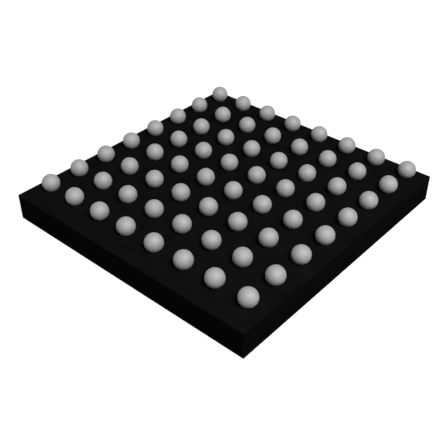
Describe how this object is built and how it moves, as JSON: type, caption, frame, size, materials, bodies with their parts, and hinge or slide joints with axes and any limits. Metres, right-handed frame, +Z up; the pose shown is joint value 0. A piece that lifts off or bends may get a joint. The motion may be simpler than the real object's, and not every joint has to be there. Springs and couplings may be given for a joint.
{
  "type": "ball grid array chip",
  "caption": "Black square-sided semiconductor package with a full grid of silvery solder balls on one face and a flat marking face on the other.",
  "frame": {"origin": "middle of the flat marking face, on the surface that the package lies on", "axes": "+Z up, out of the ball side; +Y along the longer pair of sides, towards ball row a; +X along the ball rows"},
  "size_m": [0.008, 0.0082, 0.0012],
  "materials": {
    "solder": "satin reflowed solder",
    "solder_mask": "matte black solder mask, very slightly mottled",
    "laminate": "black laminate, sawn edge",
    "mold_compound": "matte black moulding compound",
    "copper": "etched copper",
    "via_resin": "cured resin",
    "attach_film": "adhesive film",
    "silicon": "polished silicon",
    "pad_aluminium": "evaporated metal",
    "gold": "bright drawn wire"
  },
  "bodies": {
    "root": {"solder_ball_row_a": "solder", "solder_ball_row_b": "solder", "solder_ball_row_c": "solder", "solder_ball_row_d": "solder", "solder_ball_row_e": "solder", "solder_ball_row_f": "solder", "solder_ball_row_g": "solder", "solder_ball_row_h": "solder", "solder_mask_ball_side": "solder_mask", "ball_side_copper": "copper", "substrate_core": "laminate", "via_barrels": "copper", "via_plugs": "via_resin", "die_side_copper": "copper", "solder_mask_die_side": "solder_mask", "die_attach_film": "attach_film", "silicon_die": "silicon", "die_bond_pads": "pad_aluminium", "bond_wires_east": "gold", "bond_wires_north": "gold", "bond_wires_west": "gold", "bond_wires_south": "gold", "mold_cap": "mold_compound"}
  },
  "joints": []
}
